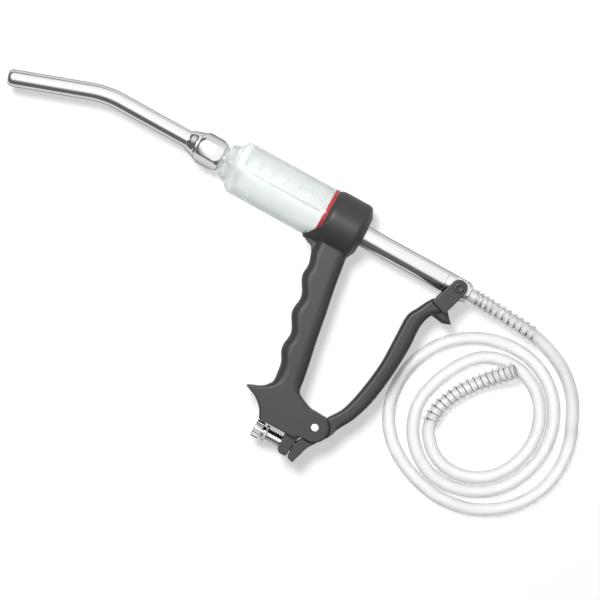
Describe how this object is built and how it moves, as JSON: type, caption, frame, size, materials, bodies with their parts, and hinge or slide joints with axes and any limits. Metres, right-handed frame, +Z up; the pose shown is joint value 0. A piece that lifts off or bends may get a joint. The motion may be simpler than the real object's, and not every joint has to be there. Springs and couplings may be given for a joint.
{
  "type": "livestock drencher",
  "caption": "Pistol-grip livestock drencher: squeezing the lever drives a hollow piston rod through a clear barrel and doses out of a bent nozzle, fed by a coiled hose.",
  "frame": {"origin": "middle of the tool's footprint without the hose, on the surface it lies on", "axes": "+X along the barrel from the nozzle to the hose, +Y from the grip towards the barrel, +Z up, square to the tool's flat side"},
  "size_m": [0.4096, 0.1573, 0.036],
  "materials": {
    "casting": "satin black",
    "clear_barrel": "milky clear",
    "red_ring": "gloss red",
    "black_rubber": "matt",
    "chrome": "bright plated",
    "white_plastic": "natural white",
    "valve_steel": "polished",
    "spring_steel": "drawn wire",
    "pin_steel": "bright",
    "dark_steel": "black oxide",
    "red_rubber": "soft",
    "clear_hose": "milky clear",
    "guard_wire": "plated wire"
  },
  "bodies": {
    "frame": {"handle": "casting", "barrel": "clear_barrel", "barrel_ring": "red_ring", "barrel_gasket": "black_rubber", "nozzle": "chrome", "nozzle_washer": "white_plastic", "coupling_nut": "chrome", "outlet_spring": "spring_steel", "rod_bush": "white_plastic", "rod_wiper": "black_rubber", "pivot_pin": "pin_steel", "return_spring": "spring_steel", "hose_coil": "clear_hose", "end_guard": "guard_wire"},
    "lever": {"lever": "casting", "trunnion_screws": "dark_steel"},
    "rod": {"piston_rod": "chrome", "piston": "white_plastic", "piston_seals": "red_rubber", "inlet_spring": "spring_steel", "inlet_cage": "valve_steel", "rod_end": "chrome", "hose_lead": "clear_hose", "rod_guard": "guard_wire"},
    "outlet_valve": {"outlet_ball": "valve_steel"},
    "inlet_valve": {"inlet_ball": "valve_steel"},
    "dose_shank": {"dose_screw": "chrome"},
    "dose_head": {"thumb_head": "chrome"},
    "lock_ring": {"lock_nut": "chrome"}
  },
  "joints": [
    {"name": "lever_squeeze", "type": "hinge", "parent": "frame", "child": "lever", "pos_m": [0.10172, -0.05405, 0.018], "axis": [0, 0, 1], "range_deg": [0, 26], "stiffness_Nm_per_rad": 0.5, "springref_deg": -20.05, "deforming": ["return_spring"]},
    {"name": "rod_slide", "type": "slide", "parent": "frame", "child": "rod", "axis": [-1, 0, 0], "range_m": [0, 0.054], "deforming": ["hose_lead"]},
    {"name": "outlet_open", "type": "slide", "parent": "frame", "child": "outlet_valve", "axis": [-1, 0, 0], "range_m": [0, 0.002], "stiffness_N_per_m": 60, "springref_m": -0.003, "deforming": ["outlet_spring"]},
    {"name": "inlet_open", "type": "slide", "parent": "rod", "child": "inlet_valve", "axis": [-1, 0, 0], "range_m": [0, 0.0015], "stiffness_N_per_m": 60, "springref_m": -0.003, "deforming": ["inlet_spring"]},
    {"name": "dose_slide", "type": "slide", "parent": "frame", "child": "dose_shank", "axis": [-1, 0, 0], "range_m": [0, 0.006]},
    {"name": "dose_turn", "type": "hinge", "parent": "dose_shank", "child": "dose_head", "pos_m": [0.09562, -0.07135, 0.018], "axis": [-1, 0, 0], "range_deg": [0, 1440]},
    {"name": "lock_run", "type": "slide", "parent": "dose_shank", "child": "lock_ring", "axis": [1, 0, 0], "range_m": [0, 0.0094]}
  ],
  "couplings": [
    {"joint": "rod_slide", "follows": "lever_squeeze", "m_per_rad": 0.11868},
    {"joint": "dose_turn", "follows": "dose_slide", "rad_per_m": 4188.8}
  ]
}
